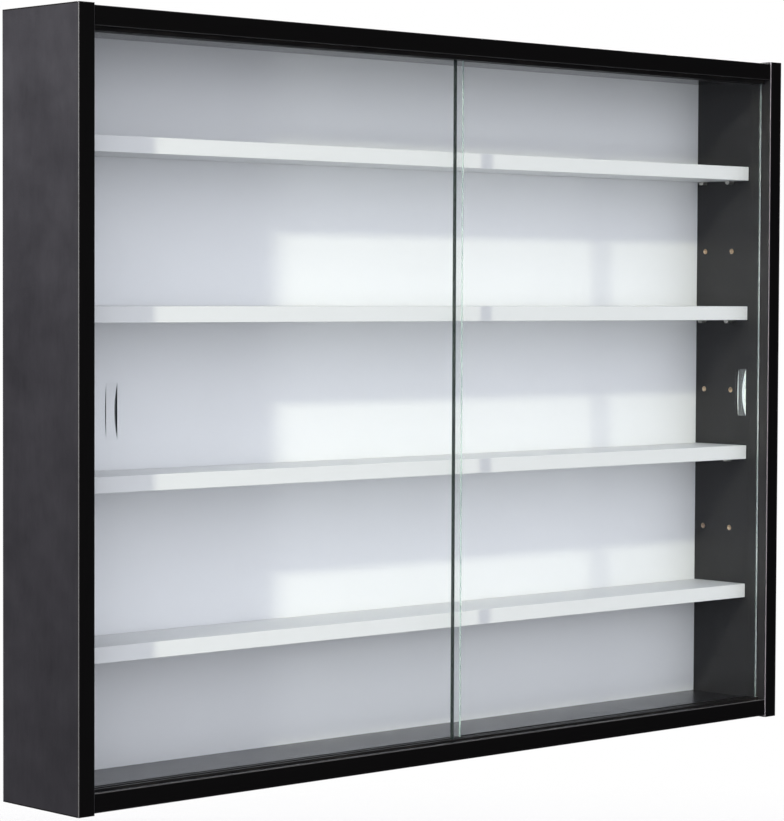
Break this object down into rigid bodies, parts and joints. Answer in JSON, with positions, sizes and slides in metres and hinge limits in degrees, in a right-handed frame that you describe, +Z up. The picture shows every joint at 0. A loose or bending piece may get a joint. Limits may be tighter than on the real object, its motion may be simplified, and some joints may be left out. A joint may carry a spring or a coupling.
{
  "type": "wall mounted showcase",
  "caption": "Shallow wall-hung display case: dark laminate box with a white back, shelves on pins, and clear sliding glass panes that pass each other in double tracks.",
  "frame": {"origin": "on the wall plane, midway between the round entry holes of the two hanger plates; the case reaches 60 mm above it and 540 mm below", "axes": "+X to the right seen from the front, +Y into the wall, +Z up"},
  "size_m": [0.8, 0.095, 0.6],
  "materials": {
    "black_laminate_board": "black melamine laminate on particle board, fine satin texture",
    "black_edge_band": "satin black plastic edge band",
    "white_hardboard": "white lacquered hardboard, satin",
    "white_laminate_board": "white melamine laminate on particle board, satin",
    "white_edge_band": "satin white plastic edge band",
    "track_plastic": "black extruded plastic, slight gloss",
    "nickel_pin": "nickel-plated steel",
    "beech_dowel": "fluted beech, raw",
    "zinc_steel": "bright zinc-plated steel",
    "cam_metal": "die-cast zinc, dull",
    "cap_plastic": "matte black plastic",
    "hanger_steel": "zinc-plated sheet steel",
    "pane_glass": "clear float glass with a green edge, ground arrises"
  },
  "bodies": {
    "carcass": {"left_side_panel": "black_laminate_board", "right_side_panel": "black_laminate_board", "top_panel": "black_laminate_board", "bottom_panel": "black_laminate_board", "back_panel": "white_hardboard", "left_front_band": "black_edge_band", "right_front_band": "black_edge_band", "top_front_band": "black_edge_band", "bottom_front_band": "black_edge_band", "side_end_bands": "black_edge_band", "top_track": "track_plastic", "bottom_track": "track_plastic", "shelf_1": "white_laminate_board", "shelf_2": "white_laminate_board", "shelf_3": "white_laminate_board", "shelf_4": "white_laminate_board", "shelf_1_band": "white_edge_band", "shelf_2_band": "white_edge_band", "shelf_3_band": "white_edge_band", "shelf_4_band": "white_edge_band", "shelf_pins": "nickel_pin", "corner_dowels": "beech_dowel", "cam_bolts": "zinc_steel", "cam_discs": "cam_metal", "cam_caps": "cap_plastic", "hanger_screws": "zinc_steel", "left_hanger_plate": "hanger_steel", "right_hanger_plate": "hanger_steel"},
    "left_door": {"left_glass": "pane_glass"},
    "right_door": {"right_glass": "pane_glass"}
  },
  "joints": [
    {"name": "left_door_slide", "type": "slide", "parent": "carcass", "child": "left_door", "axis": [1, 0, 0], "range_m": [-0.004, 0.3755]},
    {"name": "right_door_slide", "type": "slide", "parent": "carcass", "child": "right_door", "axis": [-1, 0, 0], "range_m": [0, 0.3795]}
  ]
}
